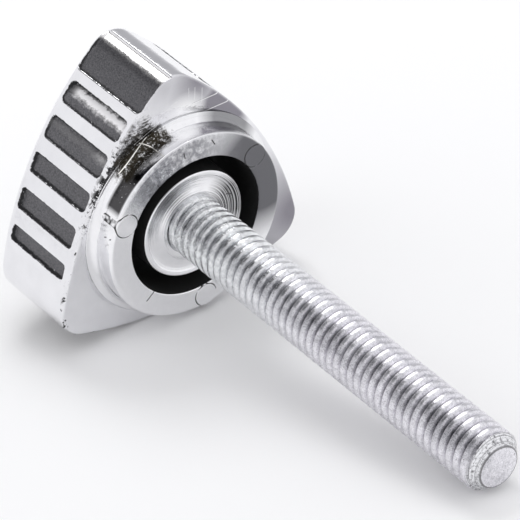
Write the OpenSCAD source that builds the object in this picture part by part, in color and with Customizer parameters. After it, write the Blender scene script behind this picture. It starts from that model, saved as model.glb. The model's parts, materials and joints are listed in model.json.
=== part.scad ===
// A side cover screw: a three-cornered grip knob moulded round the head of a threaded stud.
// The pieces are drawn upright, with the stud along +Z and the collar's face at height zero.
// They are then laid down as the loose screw rests, on the edge of one side and on the stud's tip.

/* [Stud] */
// Major diameter of the stud's thread
stud_d = 6; // [5:0.1:7]
// Length of stud that stands out past the collar's face
stud_len = 44.5; // [30:0.5:60]
// Length of the 45 degree bevel round the stud's tip
tip_bevel = 0.85; // [0.4:0.05:1.2]
// Diameter of the plain shank between the thread and the head
shank_d = 5.35; // [4.8:0.05:5.8]
// Height at which the thread starts above the moulding's shoulder
thread_gap = 0.05; // [0.02:0.01:0.5]
// Distance across the flats of the stud's hexagonal head
head_af = 10; // [8:0.1:10.5]
// Thickness of the stud's head
head_h = 4; // [2.5:0.1:4.5]
// Thickness of the moulding in front of the head
head_skin = 1.4; // [1:0.1:2]

/* [Grip] */
// Depth of the grip from its front face to its back face
grip_depth = 10.6; // [9.5:0.1:14]
// Distance from the axis to the middle of each side
side_reach = 10.95; // [10.6:0.05:11.4]
// Distance from the axis to the tip of each rounded corner
corner_reach = 15.4; // [14.8:0.1:16]
// Radius of the rounded corners in plan
corner_r = 2.9; // [2.5:0.1:3.3]
// Radius of the edge round the front face
front_round = 1; // [0.5:0.1:1.5]
// Radius of the edge round the back face
back_round = 0.35; // [0.2:0.05:0.5]
// Depth of the small flat that is rubbed on the middle of each side's back edge
rest_flat = 0.07; // [0.05:0.01:0.15]

/* [Collar] */
// Height of the collar above the grip's back face
collar_h = 2.8; // [2:0.1:4]
// Outer radius of the collar
collar_r = 9.75; // [9.4:0.05:9.85]
// Radius of the collar's outer edge
collar_round = 0.35; // [0.2:0.05:0.6]
// Radius of the hollow fillet at the collar's foot
root_fillet = 0.8; // [0.3:0.05:1]

/* [Recess and boss] */
// Outer radius of the ring-shaped recess
recess_r = 7.35; // [6.8:0.05:7.8]
// Depth of the recess below the collar's face
recess_depth = 6.5; // [4:0.1:7]
// Radius of the central boss
boss_r = 5.65; // [5.2:0.05:6]
// How far the boss stays below the collar's face
boss_drop = 0.35; // [0.1:0.05:1]
// Width of the raised rim round the boss
rim_w = 0.5; // [0.3:0.05:0.8]
// Depth of the dished face inside the rim
dish_depth = 0.25; // [0.1:0.05:0.5]
// Width of the raised shoulder round the stud
shoulder_w = 0.7; // [0.4:0.05:1]

/* [Ejector pads] */
// Radius of each ejector-pin pad
pad_r = 1.15; // [0.8:0.05:1.18]
// Height of the pads above the collar's face
pad_h = 0.06; // [0.02:0.01:0.2]
// Angle from the middle of a side to its pad
pad_turn = 5; // [0:1:30]

/* [Flutes] */
// Number of flutes on each side
flute_count = 5; // [3:1:5]
// Width of a flute at the surface
flute_w = 2.2; // [1.6:0.05:2.6]
// Width of the narrow last flute
last_flute_w = 1.65; // [1.2:0.05:2.2]
// Depth of a flute at its middle
flute_depth = 0.45; // [0.2:0.05:0.6]
// Distance between the middles of neighbouring flutes
flute_pitch = 3.76; // [3.4:0.02:3.9]
// Distance from the middle of a side to the middle of its row of flutes
flute_shift = 0.45; // [0:0.05:0.8]
// Bare length between the flutes and the back face
flute_back = 0.8; // [0.5:0.1:1.5]
// Bare length between the flutes and the front face
flute_front = 1; // [0.6:0.1:2]

/* [Corner panels] */
// Distance along a side from its middle to the edge of its corner panel
panel_edge = 9.3; // [9.2:0.1:10.5]
// Depth of a corner panel
panel_depth = 0.3; // [0.1:0.05:0.5]
// Bare length between a corner panel and the back face
panel_back = 0.2; // [0.1:0.05:0.6]
// Bare length between a corner panel and the front face
panel_front = 0.5; // [0.3:0.1:1]

/* [Hidden] */
$fn = 120;

// How far cutters and joining parts run past the faces that they meet
over = 1;
// How far a rounded surface runs past a true tangent, so that it meets the next one in an edge
blend = 0.01;
// How far the grip's edge rounding stands off its faces, for the same reason
ease = 0.02;
// Angle that the corners' edge rounding leaves to that of the sides
corner_margin = 5;

SIDES = 3;
side_turn = 360 / SIDES;
corner_turn = side_turn / 2;

// Heights along the stud's axis, from the collar's face
back_z = -collar_h;
front_z = back_z - grip_depth;
head_z = front_z + head_skin;
boss_z = -boss_drop;
dish_z = boss_z - dish_depth;

stud_r = stud_d / 2;
shank_r = shank_d / 2;
thread_z = boss_z + thread_gap;
head_corner_r = head_af / 2 / cos(30);

// The grip's outline is three flat arcs that meet three corner arcs smoothly.
// corner_at is the corner arcs' distance from the axis, and side_r is the flat arcs' radius.
corner_at = corner_reach - corner_r;
side_gap = side_reach - corner_at * cos(corner_turn);
side_r = (pow(side_gap, 2) + pow(corner_at * sin(corner_turn), 2) - pow(corner_r, 2))
    / (2 * (side_gap - corner_r));
side_at = side_r - side_reach;
side_half_turn = asin(corner_at * sin(corner_turn) / (side_r - corner_r));
corner_half_turn = corner_turn - side_half_turn;

// The collar's foot stays on the flat of the back face
foot_fillet = min(root_fillet, side_reach - back_round - collar_r);
pad_at = (recess_r + collar_r) / 2;

// How the loose screw lies: the flat on one side's back edge and the shoulder of the tip touch down
lie_run = stud_len - tip_bevel - back_z + back_round;
lie_drop = side_reach - back_round - stud_r;
lie_tilt = atan(lie_drop / lie_run)
    + asin((back_round - rest_flat) / norm([lie_run, lie_drop]));
lie_lift = (stud_len - tip_bevel) * sin(lie_tilt) + stud_r * cos(lie_tilt);
lie_x_low = -(side_reach - front_round) * sin(lie_tilt)
    + (front_z + front_round) * cos(lie_tilt) - front_round;
lie_x_high = stud_len * cos(lie_tilt) + (stud_r - tip_bevel) * sin(lie_tilt);

// Turns an upright piece over onto the surface, with the stud towards +X
module lay_down() {
    translate([-(lie_x_low + lie_x_high) / 2, 0, lie_lift])
        rotate([0, 90 + lie_tilt, 0])
            children();
}

module each_side() {
    for (k = [0 : SIDES - 1]) rotate(k * side_turn) children();
}

// A section from r_in to r_out whose two outer corners are rounded
module rounded_section(r_in, r_out, low, high, low_round, high_round) {
    translate([r_in, low + low_round])
        square([r_out - r_in, high - low - low_round - high_round]);
    translate([r_in, low]) square([r_out - low_round - r_in, low_round]);
    translate([r_in, high - high_round]) square([r_out - high_round - r_in, high_round]);
    translate([r_out - low_round, low + low_round]) mirror([0, 1]) quarter_disc(low_round);
    translate([r_out - high_round, high - high_round]) quarter_disc(high_round);
}

module quarter_disc(r) {
    intersection() {
        circle(r);
        square(2 * r);
    }
}

// The part of the plan that lies behind a side's flat arc, between the lines that end it
module side_wedge() {
    near = side_at - corner_r;
    far = side_r + corner_r;
    translate([-side_at, 0])
        polygon([
            near * [cos(side_half_turn), -sin(side_half_turn)],
            far * [cos(side_half_turn), -sin(side_half_turn)],
            far * [cos(side_half_turn), sin(side_half_turn)],
            near * [cos(side_half_turn), sin(side_half_turn)],
        ]);
}

// The grip's outline in plan, shrunk by inset
module outline(inset) {
    each_side() {
        intersection() {
            translate([-side_at, 0]) circle(side_r - inset);
            side_wedge();
        }
        rotate(corner_turn) translate([corner_at, 0]) circle(corner_r + blend - inset);
    }
}

// A disc as wide as a side's flat arc, with the grip's rounded edges
module side_disc() {
    translate([-side_at, 0, 0])
        rotate(180)
            rotate_extrude()
                rounded_section(0, side_r + ease,
                    front_z - ease, back_z + ease, front_round, back_round);
}

// What rounds the edge of one face round a corner: a ring with a hollow inner edge
module corner_ring(edge_round) {
    turn = corner_half_turn - corner_margin;
    r_mid = corner_r + ease - edge_round;
    translate([corner_at, 0, 0])
        rotate(-turn)
            rotate_extrude(angle = 2 * turn)
                difference() {
                    translate([r_mid, 0]) square(corner_r + over - r_mid);
                    translate([r_mid, 0]) circle(edge_round);
                }
}

// The grip, as an upright block on its outline whose two edges are then rounded
module grip() {
    difference() {
        intersection() {
            translate([0, 0, front_z]) linear_extrude(grip_depth) outline(0);
            side_disc();
            rotate(side_turn) side_disc();
            rotate(2 * side_turn) side_disc();
        }
        each_side()
            rotate(corner_turn) {
                translate([0, 0, back_z + ease - back_round]) corner_ring(back_round);
                translate([0, 0, front_z - ease + front_round])
                    mirror([0, 0, 1]) corner_ring(front_round);
            }
    }
}

// What is rubbed off each side's back edge, down to the surface that the loose screw lies on
module rest_flats() {
    each_side()
        rotate([0, -lie_tilt, 0])
            translate([lie_lift, -corner_r, -side_reach])
                cube([over, 2 * corner_r, side_reach]);
}

// The collar with its rounded edge and the hollow fillet at its foot
module collar() {
    fillet_at = foot_fillet - blend;
    rotate_extrude() {
        rounded_section(0, collar_r, back_z - over, 0, collar_round, collar_round);
        difference() {
            translate([collar_r - foot_fillet, back_z - foot_fillet])
                square(foot_fillet + fillet_at);
            translate([collar_r + fillet_at, back_z + fillet_at]) circle(foot_fillet);
        }
    }
}

module pads() {
    each_side()
        rotate(pad_turn)
            translate([pad_at, 0, -over]) cylinder(r = pad_r, h = over + pad_h);
}

// What is cut from the collar's face: the ring-shaped recess, the drop to the boss and its dish
module recess() {
    rotate_extrude() {
        translate([boss_r, -recess_depth]) square([recess_r - boss_r, recess_depth + over]);
        translate([0, boss_z]) square([recess_r, over - boss_z]);
        polygon([
            [0, dish_z],
            [stud_r + shoulder_w, dish_z],
            [boss_r - rim_w - dish_depth, dish_z],
            [boss_r - rim_w, boss_z],
            [boss_r - rim_w, over],
            [0, over],
        ]);
    }
}

// The low shoulder that the moulding makes round the stud
module shoulder() {
    rotate_extrude()
        polygon([
            [0, dish_z - over],
            [stud_r + shoulder_w, dish_z - over],
            [stud_r + shoulder_w, dish_z],
            [stud_r, boss_z],
            [0, boss_z],
        ]);
}

// A round-bottomed cutter, width wide and flute_depth deep where it crosses a side
module flute_cutter(width) {
    cutter_r = (pow(width / 2, 2) + pow(flute_depth, 2)) / (2 * flute_depth);
    translate([side_r + cutter_r - flute_depth, 0, front_z + flute_front])
        cylinder(r = cutter_r, h = grip_depth - flute_front - flute_back);
}

module flutes() {
    pitch_turn = flute_pitch / side_r * 180 / PI;
    shift_turn = flute_shift / side_r * 180 / PI;
    middle = (flute_count - 1) / 2;
    translate([-side_at, 0, 0])
        for (i = [0 : flute_count - 1])
            rotate(shift_turn + (i - middle) * pitch_turn)
                flute_cutter(i == flute_count - 1 ? last_flute_w : flute_w);
}

// What is cut from the corner before a side: a skin from panel_edge round to the corner's tip
module panel_cutter() {
    edge_turn = panel_edge / side_r * 180 / PI;
    edge_way = [cos(edge_turn), -sin(edge_turn)];
    corner_way = [cos(corner_turn), -sin(corner_turn)];
    translate([0, 0, front_z + panel_front])
        linear_extrude(grip_depth - panel_front - panel_back)
            difference() {
                polygon([
                    corner_at * corner_way,
                    (corner_reach + corner_r) * corner_way,
                    (side_r + corner_r) * edge_way - [side_at, 0],
                    (side_r - corner_r) * edge_way - [side_at, 0],
                ]);
                outline(panel_depth);
            }
}

// The stud's solid, which is also the space that the moulding leaves for it
module stud_form() {
    translate([0, 0, thread_z]) cylinder(r = stud_r, h = stud_len - tip_bevel - thread_z);
    translate([0, 0, head_z]) cylinder(r = shank_r, h = thread_z + over - head_z);
    translate([0, 0, stud_len - tip_bevel])
        cylinder(r1 = stud_r, r2 = stud_r - tip_bevel, h = tip_bevel);
    translate([0, 0, head_z]) cylinder(r = head_corner_r, h = head_h, $fn = 6);
}

module knob() {
    color("silver")
        lay_down()
            difference() {
                union() {
                    difference() {
                        union() {
                            grip();
                            collar();
                            pads();
                        }
                        recess();
                        each_side() {
                            flutes();
                            panel_cutter();
                        }
                        rest_flats();
                    }
                    shoulder();
                }
                stud_form();
            }
}

module stud() {
    color("gainsboro") lay_down() stud_form();
}

knob();
stud();
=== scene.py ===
# %% [markdown]
# # A side cover screw
# This lesson dresses a small hand screw: a bright three-cornered grip on a long zinc-plated stud.
# The solid model comes in first. It carries the true sizes, and every new piece is drawn over it.

import json
import math
import random

import bmesh
import bpy
from mathutils import Euler, Matrix, Vector


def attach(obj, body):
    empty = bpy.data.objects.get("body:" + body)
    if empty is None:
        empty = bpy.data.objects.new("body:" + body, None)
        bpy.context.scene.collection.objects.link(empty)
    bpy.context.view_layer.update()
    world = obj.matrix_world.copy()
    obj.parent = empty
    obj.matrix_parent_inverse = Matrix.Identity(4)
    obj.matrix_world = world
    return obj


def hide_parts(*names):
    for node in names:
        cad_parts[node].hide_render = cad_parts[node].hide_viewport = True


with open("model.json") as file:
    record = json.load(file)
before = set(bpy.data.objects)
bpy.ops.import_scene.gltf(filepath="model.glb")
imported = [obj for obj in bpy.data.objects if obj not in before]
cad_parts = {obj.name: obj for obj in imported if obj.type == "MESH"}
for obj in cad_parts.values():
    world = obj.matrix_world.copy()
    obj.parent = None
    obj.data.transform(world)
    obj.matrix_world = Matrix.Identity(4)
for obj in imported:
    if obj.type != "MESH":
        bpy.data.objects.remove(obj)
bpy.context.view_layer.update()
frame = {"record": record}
MM = 0.001
rng = random.Random(7)

# %% [markdown]
# The loose screw lies on one side of its grip and on the tip of its stud, so it slants.
# Drawing slanted pieces is awkward. It is easier to draw upright, in millimetres, with the stud
# along +Z and the collar's face at height zero, and to lay every finished mesh down at the end.
# The two mounts of the solid model tell where the stud's axis and the collar's face are.

# %% Work out how the screw lies
mounts = {m["name"]: m for m in frame["record"]["mounts"]}
axis = Vector(mounts["stud_thread"]["axis"]).normalized()
on_axis = Vector(mounts["stud_thread"]["pos_m"])
on_face = Vector(mounts["collar_face"]["pos_m"])
centre = on_axis + axis * (on_face - on_axis).dot(axis)
across = Vector((0, 1, 0))
TURNED = Matrix((across.cross(axis), across, axis)).transposed().to_4x4()
LAID = Matrix.Translation(centre) @ TURNED @ Matrix.Scale(MM, 4)
print("stud slants by", round(math.degrees(math.asin(-axis.z)), 2), "degrees")

# %% [markdown]
# A finish often follows the form: turning marks run round the axis and wear sits at the edges.
# So each point also remembers its upright place, in millimetres, for its material to read.
# Where the screw touches the table it is rubbed flat, so nothing may reach below the table.

# %% Finish a drawn shape


def finish(shape, name, materials, node=None):
    """Lays an upright shape down, makes it an object and lets it ride on the screw."""
    bmesh.ops.recalc_face_normals(shape, faces=shape.faces)
    upright = shape.verts.layers.float_vector.new("upright")
    for v in shape.verts:
        v[upright] = v.co
    shape.transform(LAID)
    for v in shape.verts:
        v.co.z = max(v.co.z, 0.0)
    mesh = bpy.data.meshes.new(name)
    shape.to_mesh(mesh)
    shape.free()
    for material in materials:
        mesh.materials.append(material)
    piece = bpy.data.objects.new(name, mesh)
    bpy.context.collection.objects.link(piece)
    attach(piece, "root")
    if node:
        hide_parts(node)
    print(name, "has", sum(len(p.vertices) - 2 for p in mesh.polygons), "triangles")
    return piece


# %% [markdown]
# The grip's outline has three gentle arcs that run smoothly into three tight corner arcs.
# Any point on it is found from how far along a side it lies, counted from the side's middle.
# Walking an offset outline needs only the same point moved along its outward direction.

# %% Measure the grip's outline
SIDE_REACH = 10.95
CORNER_REACH = 15.4
CORNER_R = 2.9
corner_at = CORNER_REACH - CORNER_R
gap = SIDE_REACH - corner_at / 2
half_width = corner_at * math.sin(math.radians(60))
SIDE_R = (gap**2 + half_width**2 - CORNER_R**2) / (2 * (gap - CORNER_R))
SIDE_AT = SIDE_R - SIDE_REACH
side_turn = math.asin(half_width / (SIDE_R - CORNER_R))
arc_end = SIDE_R * side_turn
HALF_SIDE = arc_end + CORNER_R * (math.radians(60) - side_turn)
print("side arcs have radius", round(SIDE_R, 2), "and each side runs", round(2 * HALF_SIDE, 2))


def outline_point(side, along, inset):
    """The outline's point at a distance along a side, moved inwards by inset."""
    bend = max(-arc_end, min(arc_end, along)) / SIDE_R
    rest = along - bend * SIDE_R
    if abs(rest) < 1e-9:
        x = -SIDE_AT + (SIDE_R - inset) * math.cos(bend)
        y = (SIDE_R - inset) * math.sin(bend)
    else:
        turn = bend + rest / CORNER_R
        hub = math.copysign(math.radians(60), along)
        x = corner_at * math.cos(hub) + (CORNER_R - inset) * math.cos(turn)
        y = corner_at * math.sin(hub) + (CORNER_R - inset) * math.sin(turn)
    return Matrix.Rotation(math.radians(120 * side), 2) @ Vector((x, y))


# %% [markdown]
# Each side is cut by dark, hollowed marks: one wide panel before its corner and five flutes.
# All of them are boxes with rounded corners when the side is unrolled flat, so one measure serves
# for all: how far inside the nearest box a place lies. It drives both the depth and the paint.

# %% Lay out the dark marks on an unrolled side
BACK = -2.8
FRONT = -13.4
MARKS = [
    # left, right, low, high, depth, corner radius
    (-16.5, -9.3, -12.85, -2.95, 0.30, 0.5),
    (-8.2, -5.9, -12.4, -3.5, 0.45, 0.5),
    (-4.45, -2.1, -12.4, -3.45, 0.42, 0.5),
    (-0.5, 1.5, -12.45, -3.5, 0.42, 0.45),
    (3.2, 5.4, -12.4, -3.65, 0.42, 0.45),
    (7.1, 8.75, -12.2, -3.75, 0.38, 0.4),
]
PANEL_END = -14.12


def inside_mark(along, height):
    """How far inside the nearest mark a place lies (negative outside), and which mark it is."""
    best, which = -9.0, 0
    for k, (left, right, low, high, depth, corner) in enumerate(MARKS):
        dx = abs(along - (left + right) / 2) - (right - left) / 2 + corner
        dy = abs(height - (low + high) / 2) - (high - low) / 2 + corner
        outside = math.hypot(max(dx, 0), max(dy, 0)) + min(max(dx, dy), 0) - corner
        if k == 0:
            outside = max(outside, PANEL_END - along)
        if -outside > best:
            best, which = -outside, k
    return best, which


# %% [markdown]
# The marks' floors differ. The first flute is wedge-shaped: it is deepest beside the panel, and
# its floor climbs towards the next land, so it catches a bright streak of light, which its finish
# also paints in as a highlight. The second does so faintly, and the others are plain shallow
# hollows.

# %% Shape the floors of the marks


def mark_depth(along, height):
    """How deep the surface lies below the plain side, and how far inside a mark it is."""
    inside, which = inside_mark(along, height)
    left, right, _, _, depth, _ = MARKS[which]
    wall = max(0.0, min(1.0, (inside + 0.02) / 0.16))
    place = max(0.0, min(1.0, (along - left) / (right - left)))
    if which == 1:
        floor = 0.20 + 1.20 * max(0.0, 1 - place / 0.52)
    elif which == 2:
        floor = 0.45 + 0.65 * max(0.0, 1 - place / 0.55)
    elif which == 0:
        floor = 1.0
    else:
        floor = 0.85 + 0.15 * math.sin(math.pi * place)
    return depth * wall * floor, inside


print("marks on each side:", len(MARKS))

# %% [markdown]
# The grip is one closed skin, much like a lampshade. A flat grid is the quickest start: its
# columns go round the outline and its rows go from the middle of the front face, over the edge,
# up the side and in across the back to the collar. Rolling it into place is then a matter of
# giving each grid point its place, and merging the seam and the poles.

# %% Choose the rows of the grip's skin
FRONT_ROUND = 1.0
BACK_ROUND = 0.35
COLLAR_R = 9.75
FILLET = 0.85
FOOT = COLLAR_R + FILLET
AROUND = 380


def quarter(steps):
    """The angles of a quarter turn in even steps."""
    return [math.radians(90 * k / steps) for k in range(steps + 1)]


rows = [("face", share, FRONT) for share in (0.0, 0.3, 0.6, 0.85)]
for a in quarter(7):
    rows.append(("side", FRONT_ROUND * (1 - math.sin(a)), FRONT + FRONT_ROUND * (1 - math.cos(a))))
height = FRONT + FRONT_ROUND
while height < BACK - BACK_ROUND - 0.1:
    near_end = min(abs(height - end) for end in (-12.4, -12.85, -3.5, -2.95)) < 0.5
    height = min(height + (0.1 if near_end else 0.4), BACK - BACK_ROUND)
    rows.append(("side", 0.0, height))
for a in quarter(6)[1:]:
    rows.append(("side", BACK_ROUND * (1 - math.cos(a)), BACK - BACK_ROUND * (1 - math.sin(a))))
rows += [("back", share, BACK) for share in (0.1, 0.25, 0.4, 0.55, 0.7, 0.85, 1.0)]
rows += [("core", 8.5, -8.0), ("core", 0.0, -8.0)]
print("rows:", len(rows), "columns:", 3 * AROUND)

# %% Roll the grid into the grip's skin
grip = bmesh.new()
bmesh.ops.create_grid(grip, x_segments=3 * AROUND, y_segments=len(rows) - 1, size=1)
inside_layer = grip.verts.layers.float.new("inside")
along_layer = grip.verts.layers.float.new("along")
for v in grip.verts:
    column = round((v.co.x + 1) / 2 * 3 * AROUND)
    kind, amount, height = rows[round((v.co.y + 1) / 2 * (len(rows) - 1))]
    side, step = divmod(column, AROUND)
    along = (step / AROUND - 0.5) * 2 * HALF_SIDE
    inside = -9.0
    if kind == "side":
        depth, inside = mark_depth(along, height)
        place = outline_point(side, along, amount + depth)
    elif kind == "face":
        place = outline_point(side, along, FRONT_ROUND) * amount
    elif kind == "back":
        rim = outline_point(side, along, BACK_ROUND)
        place = rim.lerp(rim.normalized() * FOOT, amount)
    else:
        place = outline_point(side, along, 0).normalized() * amount
    v.co = (place.x, place.y, height)
    v[inside_layer] = inside
    v[along_layer] = along
bmesh.ops.remove_doubles(grip, verts=grip.verts, dist=0.001)
for face in grip.faces:
    face.smooth = True
print("grip skin has", len(grip.verts), "points")

# %% [markdown]
# Finishes are easier to read when their nodes have short names. This small kit holds one
# material's nodes. A value may be a plain number, which is set on the socket, or another node's
# output, which is linked to it. Marks such as scratches and rubbed spots are measured in
# millimetres from places on the upright screw.

# %% Make a small kit for finishes


class Finish:
    """One material and short names for the nodes that it needs."""

    def __init__(self, name):
        self.material = bpy.data.materials.new(name)
        self.material.use_nodes = True
        self.tree = self.material.node_tree
        self.shader = self.tree.nodes["Principled BSDF"]
        self.place = self.remembered("upright", "Vector")
        split = self.add("ShaderNodeSeparateXYZ", {0: self.place})
        self.x, self.y, self.height = split.outputs
        flat = self.add("ShaderNodeCombineXYZ", {0: self.x, 1: self.y})
        self.plan = flat.outputs[0]
        length = self.add("ShaderNodeVectorMath", {0: self.plan}, operation="LENGTH")
        self.radius = length.outputs["Value"]

    def add(self, kind, inputs, **settings):
        node = self.tree.nodes.new(kind)
        for key, value in settings.items():
            setattr(node, key, value)
        for slot, value in inputs.items():
            self.set(node.inputs[slot], value)
        return node

    def set(self, socket, value):
        if isinstance(value, bpy.types.NodeSocket):
            self.tree.links.new(value, socket)
        elif socket.type == "RGBA":
            socket.default_value = (*value, 1)
        else:
            socket.default_value = value

    def dress(self, **inputs):
        """Sets the shader's sockets, named with _ for each space."""
        for name, value in inputs.items():
            self.set(self.shader.inputs[name.replace("_", " ")], value)
        return self.material

    def remembered(self, name, output="Fac"):
        return self.add("ShaderNodeAttribute", {}, attribute_name=name).outputs[output]

    def sum(self, a, b):
        return self.add("ShaderNodeMath", {0: a, 1: b}, operation="ADD").outputs[0]

    def less(self, a, b):
        node = self.add("ShaderNodeMath", {0: a, 1: b}, operation="SUBTRACT", use_clamp=True)
        return node.outputs[0]

    def times(self, a, b):
        return self.add("ShaderNodeMath", {0: a, 1: b}, operation="MULTIPLY").outputs[0]

    def larger(self, a, b):
        return self.add("ShaderNodeMath", {0: a, 1: b}, operation="MAXIMUM").outputs[0]

    def rise(self, value, low, high):
        """0 at low and 1 at high, with an even slope between and no more outside."""
        return self.add("ShaderNodeMapRange", {0: value, 1: low, 2: high}).outputs[0]

    def colour(self, share, first, second):
        node = self.add("ShaderNodeMix", {0: share, 6: first, 7: second}, data_type="RGBA")
        return node.outputs[2]

    def value(self, share, first, second):
        return self.add("ShaderNodeMix", {0: share, 2: first, 3: second}).outputs[0]

    def noise(self, scale, detail=3.0, rough=0.55, place=None):
        inputs = {"Vector": place or self.place, "Scale": scale, "Detail": detail,
                  "Roughness": rough}
        return self.add("ShaderNodeTexNoise", inputs).outputs["Fac"]

    def stretched(self, x, y, z):
        """The upright place, stretched so that a noise over it turns into streaks."""
        node = self.add("ShaderNodeVectorMath", {0: self.place, 1: (x, y, z)}, operation="MULTIPLY")
        return node.outputs[0]

    def turning_marks(self, scale):
        """A noise that changes with the radius only, as a turning tool leaves it."""
        along = self.add("ShaderNodeTexNoise", {"W": self.radius, "Scale": scale, "Detail": 3.0},
                         noise_dimensions="1D")
        return along.outputs["Fac"]

    def spot(self, x, y, near, far):
        """1 within near of a place in plan, fading to 0 at far."""
        gap = self.add("ShaderNodeVectorMath", {0: self.plan, 1: (x, y, 0)}, operation="DISTANCE")
        return self.rise(gap.outputs["Value"], far, near)

    def hoop(self, x, y, radius, width):
        """A thin circle round a place in plan."""
        gap = self.add("ShaderNodeVectorMath", {0: self.plan, 1: (x, y, 0)}, operation="DISTANCE")
        off = self.add("ShaderNodeMath", {0: gap.outputs["Value"], 1: radius, 2: width},
                       operation="COMPARE")
        return off.outputs[0]

    def scratch(self, start, end, width):
        """A straight line in plan from start to end."""
        start, end = Vector((*start, 0)), Vector((*end, 0))
        way = end - start
        off = self.add("ShaderNodeVectorMath", {0: self.plan, 1: start}, operation="SUBTRACT")
        run = self.add("ShaderNodeVectorMath", {0: off.outputs[0], 1: way / way.length_squared},
                       operation="DOT_PRODUCT").outputs["Value"]
        run = self.add("ShaderNodeClamp", {0: run}).outputs[0]
        foot = self.add("ShaderNodeVectorMath", {0: way, "Scale": run}, operation="SCALE")
        gap = self.add("ShaderNodeVectorMath", {0: off.outputs[0], 1: foot.outputs[0]},
                       operation="DISTANCE").outputs["Value"]
        return self.rise(gap, width, width * 0.4)

    def relief(self, height, depth):
        """Bumps of a given depth in millimetres."""
        bump = self.add("ShaderNodeBump", {"Height": height, "Distance": depth * MM})
        return bump.outputs[0]


print("a finish knows:", ", ".join(name for name in vars(Finish) if not name.startswith("_")))

# %% [markdown]
# The knob is moulded in plastic and plated bright, and its marks carry a satin black.
# The black ends in a ragged line, which comes from adding a little noise to the distance. On the
# steep walls it is painted darkest and dullest, as shade. Round the corner it is rubbed through to
# the plating, and on the floors of the first two flutes a white streak is a painted highlight.

# %% Tell where the black paint lies


def painted_marks(f):
    """Where the black lies, where its walls are painted darker as shade, where it is gone round the
    corner, and where a flute's floor has a painted highlight.
    """
    inside = f.remembered("inside")
    along = f.remembered("along")
    uneven = f.sum(f.noise(2.2, 4.0, 0.75), -0.5)
    edge = f.sum(inside, f.times(uneven, 0.42))
    paint = f.rise(edge, -0.05, 0.0)
    # The steep walls are painted darker still: painted shade in the hollows.
    wall = f.times(f.rise(edge, 0.26, 0.12), paint)
    flecks = f.rise(f.noise(3.4, 3.0, 0.7), 0.67, 0.71)
    paint = f.less(paint, f.times(flecks, f.rise(inside, 0.5, 0.2)))

    place = f.sum(along, f.times(uneven, 1.1))
    corner = f.times(f.rise(place, -12.75, -13.25), f.rise(f.sum(along, edge), -14.1, -14.0))
    # A white streak on the first two flutes' floors is a painted highlight, laid where the paint is
    # rubbed.
    first = f.times(f.rise(place, -8.05, -7.75), f.rise(place, -6.75, -7.25))
    first = f.times(first, f.rise(f.height, -12.2, -11.2))
    second = f.times(f.rise(place, -4.2, -3.9), f.rise(place, -3.1, -3.6))
    second = f.times(second, f.value(f.rise(f.height, -6.0, -4.2), 0.10, 0.5))
    streak_highlight = f.times(f.larger(first, second), f.rise(f.noise(0.5, 2.0), 0.20, 0.50))
    return paint, f.less(wall, corner), corner, streak_highlight


print("marks painted on each side:", len(MARKS))

# %% [markdown]
# The back face has seen the most wear. Dark reflections are painted towards its corners, it is
# lighter beside the collar, and black reflections are painted next to the worst knocks. Two long
# scratches and a few fine ones cross it near the top corner. Along its edge the plating has been
# knocked, which leaves black chips.

# %% Tell where the back face is worn and where reflections are painted on it
BLACK_REFLECTIONS_AT = (-9.9, -3.9)
FINE_SCRATCHES = [
    ((-13.4, 1.8), (-12.2, 1.8)), ((-13.2, 2.5), (-11.8, 2.4)), ((-12.8, 3.3), (-11.2, 3.2)),
    ((-12.6, 0.6), (-11.9, -1.4)), ((-11.6, -1.2), (-9.6, -3.4)), ((-10.9, -2.0), (-9.9, -4.6)),
]


def back_wear_and_reflections(f):
    """Where the back face carries painted dark and black reflections, a lighter patch and
    scratches, and where its edge is chipped.
    """
    on_back = f.rise(f.height, BACK - 0.3, BACK - 0.02)
    # painted dark reflections towards the back face's corners
    back_dark_reflections = f.larger(f.spot(-14.0, 3.2, 0.5, 5.0), f.spot(6.0, 13.5, 1.0, 9.0))
    back_dark_reflections = f.larger(back_dark_reflections, f.spot(-9.8, 6.0, 2.4, 4.0))
    back_dark_reflections = f.larger(back_dark_reflections, f.times(f.spot(-15.2, -0.6, 0.8, 4.2), 0.4))
    # a lighter patch beside the collar
    lighter_patch = f.spot(-10.6, 1.2, 0.8, 2.6)

    ragged = f.times(f.sum(f.noise(1.1, 5.0, 0.8), -0.5), 2.2)
    # Painted black reflections, ragged and streaky, lie next to the worst knocks.
    black_reflections = f.rise(f.sum(f.spot(*BLACK_REFLECTIONS_AT, 0.6, 3.8), ragged), 0.30, 0.75)
    black_reflections = f.times(black_reflections, f.spot(*BLACK_REFLECTIONS_AT, 2.4, 4.4))
    streaky = f.noise(1.5, 5.0, 0.8, f.stretched(3.0, 1.0, 1.0))
    black_reflections = f.times(black_reflections, f.rise(streaky, 0.62, 0.50))

    on_edge = f.times(f.rise(f.height, -3.6, -3.0), f.rise(f.radius, 10.0, 10.5))
    low_corner = f.times(f.spot(5.6, -12.8, 1.2, 3.6), f.rise(f.height, -3.4, -3.1))
    worst = f.larger(f.spot(-6.8, -8.6, 1.0, 5.5), f.times(low_corner, f.less(1.0, on_back)))
    chips = f.rise(f.sum(f.noise(1.5, 5.0, 0.8), f.times(worst, 0.10)), 0.60, 0.62)
    chips = f.times(f.times(chips, on_edge), f.rise(worst, 0.0, 0.25))

    lines = f.larger(
        f.scratch((-11.5, 2.2), (-11.4, 5.3), 0.06), f.scratch((-10.1, 3.1), (-10.0, 6.5), 0.06)
    )
    for start, end in FINE_SCRATCHES:
        lines = f.larger(lines, f.times(f.scratch(start, end, 0.045), 0.6))
    back_dark_reflections, lighter_patch, black_reflections, lines = (
        f.times(mark, on_back) for mark in (back_dark_reflections, lighter_patch, black_reflections, lines)
    )
    return back_dark_reflections, lighter_patch, black_reflections, chips, lines


print("fine scratches on the back:", len(FINE_SCRATCHES))

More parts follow.
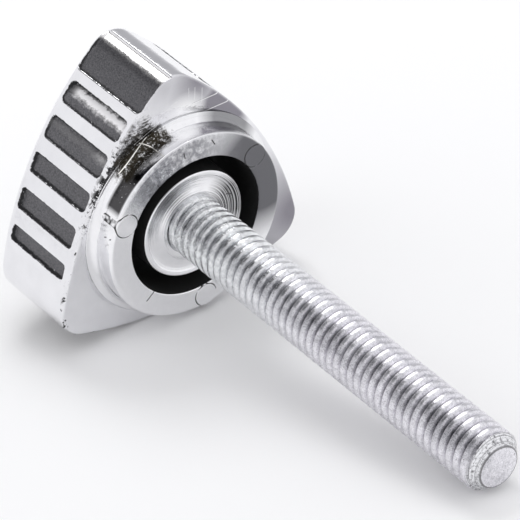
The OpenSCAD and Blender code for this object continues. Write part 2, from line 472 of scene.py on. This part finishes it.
# %% [markdown]
# Plating is a thin mirror over a surface that was never quite flat, so it takes a full metal with
# fine, shallow waves in its bumps. The wear and the painted reflections found above are then mixed
# in, layer over layer, from the plating up to the scratches. The painted highlight on the flute
# floors is a white that is no metal, so its metal share drops there.

# %% Plate and paint the grip


def grip_finish():
    f = Finish("plated_grip")
    paint, wall, corner, streak_highlight = painted_marks(f)
    back_dark_reflections, lighter_patch, black_reflections, chips, lines = back_wear_and_reflections(f)
    rubbed = f.larger(corner, streak_highlight)
    plating = f.colour(f.noise(0.5, 2.0), (0.76, 0.76, 0.78), (0.88, 0.88, 0.90))
    # painted dark reflections on the back face
    plating = f.colour(back_dark_reflections, plating, (0.27, 0.26, 0.29))
    plating = f.colour(lighter_patch, plating, (0.98, 0.98, 0.98))

    grit = f.rise(f.noise(7.0, 4.0, 0.8), 0.35, 0.65)
    black = f.colour(grit, (0.055, 0.054, 0.060), (0.170, 0.168, 0.177))
    # painted shade on the steep walls of the marks
    black = f.colour(wall, black, (0.008, 0.008, 0.010))
    # the white streak on the flute floors is a painted highlight; round the corner the plating
    # shows through
    black = f.colour(rubbed, black, f.colour(streak_highlight, (0.75, 0.74, 0.74), (0.93, 0.92, 0.93)))

    skin = f.colour(paint, plating, black)
    # painted black reflections beside the worst knocks
    skin = f.colour(f.times(black_reflections, 0.95), skin, (0.030, 0.026, 0.020))
    skin = f.colour(chips, skin, (0.008, 0.008, 0.009))
    skin = f.colour(lines, skin, (0.95, 0.95, 0.95))
    dull = f.larger(wall, chips)
    metal = f.value(paint, 1.0, f.value(corner, f.value(streak_highlight, 0.6, 0.0), 1.0))
    rough = f.value(paint, f.value(back_dark_reflections, 0.08, 0.16), f.value(rubbed, 0.33, 0.18))
    waves = f.sum(f.noise(0.8, 3.0), f.times(f.noise(14.0, 2.0), 0.06))
    return f.dress(
        Base_Color=skin, Metallic=f.value(dull, metal, 0.0), Roughness=f.value(dull, rough, 0.75),
        Normal=f.relief(f.sum(waves, f.times(lines, -0.3)), 0.045),
    )


finish(grip, "knob_grip", [grip_finish()], "knob")

# %% [markdown]
# The collar, its recess and the boss inside it are all turned shapes, one inside the other.
# A section drawn once and spun round the axis makes them in a single step. The section starts
# on the axis deep in the knob, climbs the hollow fillet and the collar's side, crosses the
# ring-shaped face, drops into the recess and comes up over the boss to the stud.

# %% Draw the section of the collar and boss
COLLAR_ROUND = 0.35
RECESS_OUT = 7.35
RECESS_IN = 5.65
RECESS_FLOOR = -6.5
INNER_ROUND = 0.12
RIM_ROUND = 0.2

ring_part = [(0, -7.2), (8.6, -7.2), (FOOT + 0.03, BACK - 0.05)]
ring_part += [
    (FOOT - FILLET * math.sin(a), BACK + FILLET - FILLET * math.cos(a)) for a in quarter(9)
]
ring_part += [(COLLAR_R, -1.4), (COLLAR_R, -0.9)]
ring_part += [
    (COLLAR_R + COLLAR_ROUND * (math.cos(a) - 1), COLLAR_ROUND * (math.sin(a) - 1))
    for a in quarter(7)
]
ring_part += [(r, 0.0) for r in (9.2, 8.8, 8.4, 8.0, 7.65)]
ring_part += [
    (RECESS_OUT + INNER_ROUND * (1 - math.sin(a)), INNER_ROUND * (math.cos(a) - 1))
    for a in quarter(4)
]
recess_part = [(RECESS_OUT, height) for height in (-1.0, -3.5, RECESS_FLOOR)]
recess_part += [(RECESS_IN, height) for height in (RECESS_FLOOR, -3.5, -1.2)]
boss_part = [
    (RECESS_IN + RIM_ROUND * (math.cos(a) - 1), -0.58 + RIM_ROUND * math.sin(a))
    for a in quarter(5)
]
boss_part += [
    (5.25, -0.38), (5.15, -0.44), (5.0, -0.56), (4.7, -0.60), (4.3, -0.60), (3.9, -0.59),
    (3.75, -0.52), (3.6, -0.42), (3.45, -0.37), (3.25, -0.36), (3.05, -0.40), (2.4, -0.5),
    (0, -0.5),
]
section = ring_part + recess_part + boss_part
print("section has", len(section), "points")

# %% Spin the section round the axis
collar = bmesh.new()
points = [collar.verts.new((r, 0, h)) for r, h in section]
edges = [collar.edges.new(pair) for pair in zip(points, points[1:])]
bmesh.ops.spin(
    collar, geom=points + edges, cent=(0, 0, 0), axis=(0, 0, 1), angle=math.tau, steps=360,
    use_merge=True, use_duplicate=False,
)
bmesh.ops.remove_doubles(collar, verts=collar.verts, dist=0.001)
for face in collar.faces:
    middle = face.calc_center_median()
    face.smooth = True
    in_recess = RECESS_IN - 0.01 < middle.xy.length < RECESS_OUT + 0.01
    face.material_index = int(in_recess and RECESS_FLOOR - 0.1 < middle.z < -INNER_ROUND)
print("collar has", len(collar.faces), "faces")

# %% [markdown]
# Three ejector pins pushed the moulding out of its tool and left round pads on the ring's face.
# A pad is a thin disc with a softened edge, so a circle is filled, extruded and bevelled.

# %% Add the ejector pads
PAD_AT = 8.55
PAD_R = 1.15
PAD_TURN = 5
pad_places = []
for k in range(3):
    turn = math.radians(120 * k + PAD_TURN)
    pad_places.append((PAD_AT * math.cos(turn), PAD_AT * math.sin(turn)))
    spot = Matrix.Translation((*pad_places[-1], -0.05))
    made = bmesh.ops.create_circle(collar, cap_ends=True, segments=48, radius=PAD_R, matrix=spot)
    disc = next(face for face in made["verts"][0].link_faces if len(face.verts) == 48)
    raised = bmesh.ops.extrude_face_region(collar, geom=[disc])
    top = next(g for g in raised["geom"] if isinstance(g, bmesh.types.BMFace))
    bmesh.ops.translate(collar, verts=top.verts, vec=(0, 0, 0.11))
    bmesh.ops.bevel(
        collar, geom=list(top.edges), offset=0.04, segments=2, profile=0.5, affect="EDGES",
        material=-1,
    )
print("pads stand at", [(round(x, 2), round(y, 2)) for x, y in pad_places])

# %% [markdown]
# The ring's face came off the tool with turning marks. Dark reflections are painted on it: it is
# darkest on one side and cloudy grey beside that. Dark rings lie in the corner round each pad, and
# dark lines in a few cracks.

# %% Tell where the ring is painted dark and where its dark rings and cracks lie
CRACKS = [
    ((6.0, -6.0), (5.3, -5.1)), ((-8.9, 2.2), (-8.3, 2.5)), ((-1.3, 4.5), (-1.5, 4.0)),
    ((-8.8, -1.0), (-8.2, -0.9)), ((-6.6, -4.1), (-6.2, -3.9)),
]


def darkened_ring(f, cloud):
    """Where the ring's face is, where dark and grey reflections are painted, and where dark rings
    and cracks lie.
    """
    on_ring = f.times(f.rise(f.height, -0.25, -0.05), f.rise(f.radius, 7.0, 7.2))
    # painted dark reflection on one side of the ring, and a cloudy grey one beside it
    ring_dark_reflection = f.times(f.spot(-3.2, 8.0, 4.8, 8.2), on_ring)
    ring_grey_reflection = f.times(f.spot(-8.0, -1.6, 2.5, 7.5), on_ring)
    ring_grey_reflection = f.times(ring_grey_reflection, f.rise(cloud, 0.28, 0.55))

    # dark rings round each pad's foot and dark lines in a few cracks
    dark_rings_and_cracks = f.hoop(*pad_places[0], PAD_R + 0.05, 0.05)
    for place in pad_places[1:]:
        dark_rings_and_cracks = f.larger(dark_rings_and_cracks, f.hoop(*place, PAD_R + 0.05, 0.05))
    dark_rings_and_cracks = f.times(dark_rings_and_cracks, f.rise(f.noise(0.8, 2.0), 0.40, 0.48))
    for start, end in CRACKS:
        dark_rings_and_cracks = f.larger(dark_rings_and_cracks, f.scratch(start, end, 0.08))
    return on_ring, ring_dark_reflection, ring_grey_reflection, dark_rings_and_cracks


print("cracks in the ring:", len(CRACKS))

# %% [markdown]
# The collar's side and foot are crazed beside the worst knocks. There black pits are painted dark
# reflections and bright flecks are painted glints, along with two cuts. Next to that lies a
# smooth, smoky patch of painted dark reflection, and the far side is shaded.

# %% Tell where the collar's side is crazed
CRAZED_AT = (-9.1, -4.2)


def crazed_side(f, grit):
    """Where the collar's side is crazed, its painted dark pits and glints, its cuts, and its
    painted smoky reflection and shade.
    """
    below = f.times(f.rise(f.height, -0.2, -0.4), f.rise(f.radius, 9.4, 9.6))
    ragged = f.times(f.sum(f.noise(1.1, 5.0, 0.8), -0.5), 1.6)
    crazed = f.rise(f.sum(f.spot(*CRAZED_AT, 1.6, 4.4), ragged), 0.28, 0.66)
    crazed = f.times(crazed, f.spot(*CRAZED_AT, 3.0, 4.8))
    crazed = f.times(crazed, f.times(below, f.rise(f.height, -0.9, -1.5)))
    # The black pits here are painted dark reflections, and the bright flecks are painted glints.
    pits = f.times(crazed, f.rise(grit, 0.62, 0.56))
    flecks = f.times(crazed, f.rise(f.noise(4.2, 4.0, 0.8), 0.63, 0.68))
    cuts = f.larger(
        f.scratch((-11.0, -2.0), (-7.6, -6.6), 0.06), f.scratch((-10.0, -4.4), (-9.0, -2.6), 0.05)
    )
    flecks = f.larger(flecks, f.times(cuts, below))
    # a smooth patch of painted smoky dark reflection
    smoky_reflection = f.times(f.spot(-6.7, -7.1, 1.9, 2.5), f.times(below, f.rise(f.height, -2.3, -2.0)))
    smoky_reflection = f.times(smoky_reflection, f.rise(grit, 0.70, 0.62))
    shade = f.times(f.spot(-7.9, 6.2, 2.2, 4.2), below)
    return crazed, pits, flecks, smoky_reflection, shade


print("the collar is crazed round", CRAZED_AT)

# %% [markdown]
# The boss was turned more coarsely, so its rings show, and dark reflections are painted on two of
# its sides. All of these marks are laid over the same bright plating. The recess between ring and
# boss is black plastic that is painted nearly black as shade.

# %% Plate the collar and blacken its recess


def collar_finish():
    f = Finish("plated_collar")
    cloud = f.noise(1.6, 5.0, 0.7)
    grit = f.noise(3.0, 5.0, 0.85)
    on_ring, ring_dark_reflection, ring_grey_reflection, dark_rings_and_cracks = darkened_ring(f, cloud)
    crazed, pits, flecks, smoky_reflection, shade = crazed_side(f, grit)
    skin = f.colour(cloud, (0.84, 0.84, 0.86), (0.97, 0.97, 0.98))
    for share, colour in (
        # painted reflections on the ring: dark on one side, cloudy grey beside it
        (f.times(ring_dark_reflection, 0.95), (0.11, 0.11, 0.12)),
        (ring_grey_reflection, (0.30, 0.30, 0.32)),
        (f.times(shade, 0.85), (0.20, 0.20, 0.21)),
        # painted smoky dark reflection
        (smoky_reflection, (0.075, 0.073, 0.075)),
        # painted dark reflection pits and painted glints in the crazed patch
        (pits, (0.035, 0.030, 0.022)),
        (flecks, (0.92, 0.90, 0.86)),
        (dark_rings_and_cracks, (0.02, 0.02, 0.02)),
    ):
        skin = f.colour(share, skin, colour)

    on_boss = f.rise(f.radius, RECESS_IN + 0.1, RECESS_IN - 0.05)
    # painted dark reflections on two sides of the boss
    boss_dark_reflections = f.larger(f.spot(-0.9, 4.9, 1.6, 3.9), f.times(f.spot(-4.1, -2.5, 0.4, 2.6), 0.75))
    boss_dark_reflections = f.larger(boss_dark_reflections, f.times(f.spot(4.6, 2.4, 0.2, 1.4), 0.5))
    boss_dark_reflections = f.times(boss_dark_reflections, f.rise(f.turning_marks(7.0), 0.75, 0.45))
    # painted dark reflections on the boss
    skin = f.colour(f.times(boss_dark_reflections, on_boss), skin, (0.055, 0.055, 0.058))
    marks = f.times(f.turning_marks(5.0), f.value(on_boss, 0.06, 1.6))
    grain = f.times(f.noise(5.0, 4.0, 0.7), f.value(on_boss, 0.3, 0.10))
    bumps = f.sum(f.sum(marks, grain), f.times(crazed, f.times(grit, 1.2)))
    return f.dress(
        Base_Color=skin, Metallic=f.value(dark_rings_and_cracks, 1.0, 0.0),
        Roughness=f.value(on_boss, f.value(on_ring, 0.06, 0.18), 0.14),
        Normal=f.relief(bumps, 0.035),
    )


def recess_finish():
    # Nearly black, darker than bare plastic: black plastic with painted shade deep in the recess.
    f = Finish("recess_black_and_shade")
    return f.dress(
        Base_Color=f.colour(f.noise(2.0), (0.003, 0.003, 0.003), (0.010, 0.010, 0.010)),
        Roughness=0.8,
    )


finish(collar, "knob_collar", [collar_finish(), recess_finish()], "knob")

# %% [markdown]
# A rolled thread is one groove that climbs round the stud. Its section over one turn's height is
# spun once round while it climbs by that height, which makes a single turn that fits on its own
# copy. A stack of such turns is then merged and trimmed at both ends.

# %% Spin one turn of thread and stack its copies
STUD_R = 3.0
ROOT_R = 2.48
PITCH = 1.0
STUD_LEN = 44.5
TIP_BEVEL = 1.2
TIP_R = 2.05
START = -2.0
TURNS = 48
STEPS = 96
flank = [
    (2.985, 0.0), (3.0, 0.12), (3.0, 0.34), (2.985, 0.44), (2.90, 0.52), (2.72, 0.61),
    (2.53, 0.70), (ROOT_R, 0.74), (2.53, 0.78), (2.72, 0.86), (2.90, 0.94), (2.985, 1.0),
]
thread = bmesh.new()
points = [thread.verts.new((r, 0, START + h * PITCH)) for r, h in flank]
edges = [thread.edges.new(pair) for pair in zip(points, points[1:])]
bmesh.ops.spin(
    thread, geom=points + edges, cent=(0, 0, 0), axis=(0, 0, 1), dvec=(0, 0, PITCH / STEPS),
    angle=math.tau, steps=STEPS, use_merge=False, use_duplicate=False,
)
one_turn = thread.verts[:] + thread.edges[:] + thread.faces[:]
for k in range(1, TURNS):
    copy = bmesh.ops.duplicate(thread, geom=one_turn)
    moved = [g for g in copy["geom"] if isinstance(g, bmesh.types.BMVert)]
    bmesh.ops.translate(thread, verts=moved, vec=(0, 0, k * PITCH))
bmesh.ops.remove_doubles(thread, verts=thread.verts, dist=0.004)
print("stack of", TURNS, "turns has", len(thread.faces), "faces")

# %% [markdown]
# The tip is turned to a blunt cone, which cuts the last turn away. Every point that lies outside
# the cone is drawn in to it. The trimmed end is closed with a flat face, and a sharp edge round
# that face keeps it looking flat. The other end stays hidden inside the boss.

# %% Trim the thread and turn its tip
HIDDEN_END = -0.8
CONE_START = STUD_LEN - TIP_BEVEL
for height, way in ((HIDDEN_END, -1), (STUD_LEN - 0.01, 1)):
    whole = thread.verts[:] + thread.edges[:] + thread.faces[:]
    cut = bmesh.ops.bisect_plane(
        thread, geom=whole, plane_co=(0, 0, height), plane_no=(0, 0, way), clear_outer=True
    )
    ring = [g for g in cut["geom_cut"] if isinstance(g, bmesh.types.BMEdge)]
    bmesh.ops.holes_fill(thread, edges=ring, sides=0)
for v in thread.verts:
    share = max(0.0, v.co.z - CONE_START) / TIP_BEVEL
    cone = STUD_R - (STUD_R - TIP_R) * share
    reach = v.co.xy.length
    if reach > cone:
        v.co.x *= cone / reach
        v.co.y *= cone / reach
caps = [face for face in thread.faces if len(face.verts) > 20]
for face in thread.faces:
    face.smooth = face not in caps
for face in caps:
    for edge in face.edges:
        edge.smooth = False
print("thread has", len(thread.faces), "faces and", len(caps), "caps")

# %% [markdown]
# The bottom of the groove is painted darker as shade, so each point remembers how deep it lies
# there: 0 on the crest and 1 at the root. The cone has no groove left.

# %% Remember the depth of the groove
root_layer = thread.verts.layers.float.new("root")
for v in thread.verts:
    v[root_layer] = (STUD_R - v.co.xy.length) / (STUD_R - ROOT_R)
    if v.co.z > CONE_START:
        v[root_layer] = 0.0
print("deepest point:", round(max(v[root_layer] for v in thread.verts), 2))

# %% [markdown]
# Zinc plating is a pale grey metal. Near the knob it is still shiny and crumpled, and it grows
# more frosted and grainy towards the tip. A dark reflection is painted along one side, and the
# bottom of the groove is painted darker as shade. Small knocks show as dark pits along the turns.

# %% Tell how the zinc is coloured
FROSTED_FROM_TO = (6.0, 22.0)


def zinc_colour(f, patches, streaks, frost, frosted):
    """The zinc's colour along the stud, with streaks, a painted dark reflection on one side, grain,
    painted shade in the groove and pits.
    """
    shiny = f.colour(f.rise(patches, 0.35, 0.65), (0.74, 0.76, 0.77), (0.97, 0.98, 0.99))
    frosty = f.colour(f.rise(frost, 0.35, 0.62), (0.72, 0.71, 0.75), (0.97, 0.96, 1.00))
    # A dark reflection is painted along one side of the stud.
    dark_reflection_side = f.times(f.spot(-2.2, -2.1, 0.5, 1.9), f.rise(f.noise(0.4, 3.0), 0.25, 0.6))
    grain = f.times(f.rise(f.noise(9.0, 4.0, 0.85), 0.50, 0.58), f.value(dark_reflection_side, 0.22, 0.85))
    near_tip = f.rise(f.height, 41.5, 43.9)
    pits = f.rise(f.noise(2.6, 3.0, 0.7), 0.66, 0.70)
    zinc = f.colour(frosted, shiny, frosty)
    for share, colour in (
        (f.times(f.rise(streaks, 0.45, 0.65), 0.35), (0.40, 0.40, 0.43)),
        # painted dark reflection along one side
        (f.times(dark_reflection_side, 0.55), (0.13, 0.13, 0.15)),
        (f.times(grain, frosted), (0.08, 0.08, 0.09)),
        # painted shade at the bottom of the groove
        (f.times(f.rise(f.remembered("root"), 0.55, 1.0), 0.9), (0.07, 0.07, 0.08)),
        (f.times(pits, f.value(near_tip, 0.3, 0.85)), (0.08, 0.08, 0.08)),
    ):
        zinc = f.colour(share, zinc, colour)
    return zinc


print("the frost grows between", FROSTED_FROM_TO, "mm")

# %% [markdown]
# The blunt cone round the flat end is speckled and keeps the rings of its turning, and a dark line
# parts the two. The crumpling near the knob is only a stronger bump over a smoother metal.

# %% Zinc the stud


def speckled_tip(f, zinc):
    """The zinc's colour with the cone and the line at its inner edge laid over it."""
    on_tip = f.rise(f.height, CONE_START, CONE_START + 0.1)
    cone = f.times(on_tip, f.rise(f.radius, TIP_R + 0.02, TIP_R + 0.1))
    speckles = f.rise(f.noise(3.4, 4.0, 0.8), 0.38, 0.50)
    speckled = f.colour(speckles, (0.22, 0.22, 0.23), (0.88, 0.88, 0.90))
    rings = f.times(f.rise(f.turning_marks(9.0), 0.50, 0.56), 0.55)
    speckled = f.colour(rings, speckled, (0.20, 0.20, 0.21))
    line = f.add("ShaderNodeMath", {0: f.radius, 1: TIP_R + 0.01, 2: 0.07}, operation="COMPARE")
    line = f.times(f.times(line.outputs[0], on_tip), 0.75)
    return f.colour(line, f.colour(cone, zinc, speckled), (0.10, 0.10, 0.10))


def zinc_finish():
    f = Finish("zinc_plating")
    frosted = f.rise(f.height, *FROSTED_FROM_TO)
    patches = f.noise(1.3, 4.0, 0.75)
    streaks = f.noise(1.0, 3.0, 0.6, f.stretched(2.4, 2.4, 0.35))
    frost = f.noise(6.5, 3.0, 0.75)
    zinc = speckled_tip(f, zinc_colour(f, patches, streaks, frost, frosted))
    crumpled = f.value(f.rise(f.height, 7.0, 1.0), f.value(frosted, 1.5, 0.6), 3.2)
    uneven = f.sum(f.times(patches, crumpled), f.times(frost, 0.16))
    rough = f.value(f.rise(f.height, 10.0, 2.0), f.value(frosted, 0.20, 0.33), 0.11)
    return f.dress(
        Base_Color=zinc, Metallic=1.0, Roughness=rough,
        Normal=f.relief(f.sum(uneven, f.times(streaks, 0.5)), 0.07),
    )


finish(thread, "stud_thread", [zinc_finish()], "stud")

# %% [markdown]
# Where the tool's halves met and where the knob was knocked, plating has curled up into crumbs
# and flakes. Each crumb is a coarse ball that is squashed, turned and half sunk into the surface.
# They gather along the edge between the worst side and the back, and beside one pad.

# %% Draw one crumb
crumbs = bmesh.new()


def crumb(x, y, height, size):
    """A squashed, turned and uneven little ball."""
    turned = Euler([rng.uniform(0, 6) for _ in range(3)]).to_matrix().to_4x4()
    squash = Matrix.Diagonal((1.0, rng.uniform(0.4, 0.8), rng.uniform(0.3, 0.6), 1.0))
    made = bmesh.ops.create_icosphere(
        crumbs, subdivisions=2, radius=size,
        matrix=Matrix.Translation((x, y, height)) @ turned @ squash,
    )
    for v in made["verts"]:
        v.co += Vector([rng.uniform(-0.12, 0.12) * size for _ in range(3)])


print("a crumb is drawn at its place")

# %% Scatter crumbs along the back edge
WORST_SIDE = 2
for _ in range(64):
    along = rng.gauss(-1.0, 5.0)
    if abs(along) < 13:
        edge = outline_point(WORST_SIDE, along, rng.uniform(0.02, 0.5))
        crumb(edge.x, edge.y, BACK - 0.03, rng.uniform(0.05, 0.15))
for _ in range(10):
    edge = outline_point(WORST_SIDE, rng.uniform(12.6, 14.0), rng.uniform(0.05, 0.4))
    crumb(edge.x, edge.y, BACK - 0.06, rng.uniform(0.08, 0.18))
print("crumbs have", len(crumbs.faces), "faces so far")

# %% Scatter crumbs on the ring and on the collar's side
HEAPS = [
    # x, y, spread, count
    (-1.3, -6.1, 0.5, 9),
    (-4.2, -9.0, 0.6, 8),
    (-6.0, -8.3, 0.7, 7),
]
for x, y, spread, count in HEAPS:
    for _ in range(count):
        px, py = rng.gauss(x, spread), rng.gauss(y, spread)
        if 7.45 < math.hypot(px, py) < 9.6:
            crumb(px, py, -0.02, rng.uniform(0.05, 0.12))
SIDE_CRUMBS_AT = COLLAR_R + 0.03
for _ in range(14):
    turn = math.radians(rng.uniform(196, 262))
    crumb(
        SIDE_CRUMBS_AT * math.cos(turn), SIDE_CRUMBS_AT * math.sin(turn),
        rng.uniform(-1.6, -0.3), rng.uniform(0.06, 0.13),
    )
for face in crumbs.faces:
    face.smooth = True
print("crumbs have", len(crumbs.faces), "faces")

# %% [markdown]
# Some crumbs are bright curls of plating and some are the dark plastic under it, so a coarse noise
# picks between the two.

# %% Plate the crumbs


def crumb_finish():
    f = Finish("curled_plating")
    skin = f.colour(f.rise(f.noise(1.3, 3.0), 0.45, 0.55), (0.10, 0.10, 0.10), (0.92, 0.92, 0.93))
    return f.dress(Base_Color=skin, Metallic=1.0, Roughness=0.2)


finish(crumbs, "plating_crumbs", [crumb_finish()])

# %% [markdown]
# The stage is a pale floor under a pale sky. Bright metal also needs something dark to reflect, or
# it looks like white plastic, so the sky gets one grey patch and one nearly black one. A softbox
# hangs between them and gives the bright bars along the top edges.

# %% Lay the floor
floor_shape = bmesh.new()
bmesh.ops.create_grid(floor_shape, x_segments=1, y_segments=1, size=2.0)
floor_mesh = bpy.data.meshes.new("floor")
floor_shape.to_mesh(floor_mesh)
floor_shape.free()
floor = bpy.data.objects.new("floor", floor_mesh)
bpy.context.collection.objects.link(floor)
floor.location.z = -0.02 * MM
paper = bpy.data.materials.new("floor_paper")
paper.use_nodes = True
shader = paper.node_tree.nodes["Principled BSDF"]
shader.inputs["Base Color"].default_value = (0.95, 0.95, 0.95, 1)
shader.inputs["Roughness"].default_value = 0.9
shader.inputs["Specular IOR Level"].default_value = 0.1
floor_mesh.materials.append(paper)

# %% Paint the sky
world = bpy.data.worlds.new("tent")
bpy.context.scene.world = world
world.use_nodes = True
nodes, links = world.node_tree.nodes, world.node_tree.links
sky = nodes.new("ShaderNodeTexCoord").outputs["Generated"]
tone = (0.98, 0.98, 1.0, 1)


def patch(tone, way, inner, outer, colour):
    """Paints a soft round patch on the sky: full within inner degrees, gone at outer."""
    facing = nodes.new("ShaderNodeVectorMath")
    facing.operation = "DOT_PRODUCT"
    links.new(sky, facing.inputs[0])
    facing.inputs[1].default_value = Vector(way).normalized()
    share = nodes.new("ShaderNodeMapRange")
    links.new(facing.outputs["Value"], share.inputs[0])
    share.inputs[1].default_value = math.cos(math.radians(outer))
    share.inputs[2].default_value = math.cos(math.radians(inner))
    mix = nodes.new("ShaderNodeMix")
    mix.data_type = "RGBA"
    links.new(share.outputs[0], mix.inputs[0])
    if isinstance(tone, tuple):
        mix.inputs[6].default_value = tone
    else:
        links.new(tone, mix.inputs[6])
    mix.inputs[7].default_value = colour
    return mix.outputs[2]


tone = patch(tone, (-0.585, 0.705, 0.40), 8, 36, (0.50, 0.50, 0.52, 1))
tone = patch(tone, (-0.514, -0.240, 0.823), 18, 22, (0.010, 0.010, 0.012, 1))
links.new(tone, nodes["Background"].inputs["Color"])
print("sky has", len(nodes), "nodes")

# %% Hang the softbox
lamp = bpy.data.lights.new("overhead", "AREA")
lamp.shape = "SQUARE"
lamp.size = 0.27
lamp.energy = 0.85
lamp_holder = bpy.data.objects.new("overhead", lamp)
bpy.context.collection.objects.link(lamp_holder)
lamp_way = Vector((-0.515, 0.28, 0.81)).normalized()
lamp_holder.location = lamp_way * 0.6
lamp_holder.rotation_euler = lamp_way.to_track_quat("Z", "Y").to_euler()
print("softbox hangs at", [round(c, 3) for c in lamp_holder.location])

# %% [markdown]
# The camera is far away with a long lens, so the stud barely tapers towards its tip. It looks
# down along the stud from its tip's side and is rolled a little. Its place was found against the
# upright screw, so it is laid down with the screw.

# %% Set the camera
bpy.context.scene.view_settings.view_transform = "Standard"
eye = bpy.data.cameras.new("eye")
eye.lens = 286.86
eye.sensor_width = 36
eye.clip_end = 20
camera = bpy.data.objects.new("eye", eye)
bpy.context.collection.objects.link(camera)
eye_at = Vector((-233.8905, -175.394, 254.5361)) * MM
eye_turned = Euler([math.radians(a) for a in (-36.48189, -36.82855, 88.0727)])
upright_eye = Matrix.Translation(eye_at) @ eye_turned.to_matrix().to_4x4()
camera.matrix_world = Matrix.Translation(centre) @ TURNED @ upright_eye
bpy.context.scene.camera = camera
print("camera stands", [round(c, 3) for c in camera.location])
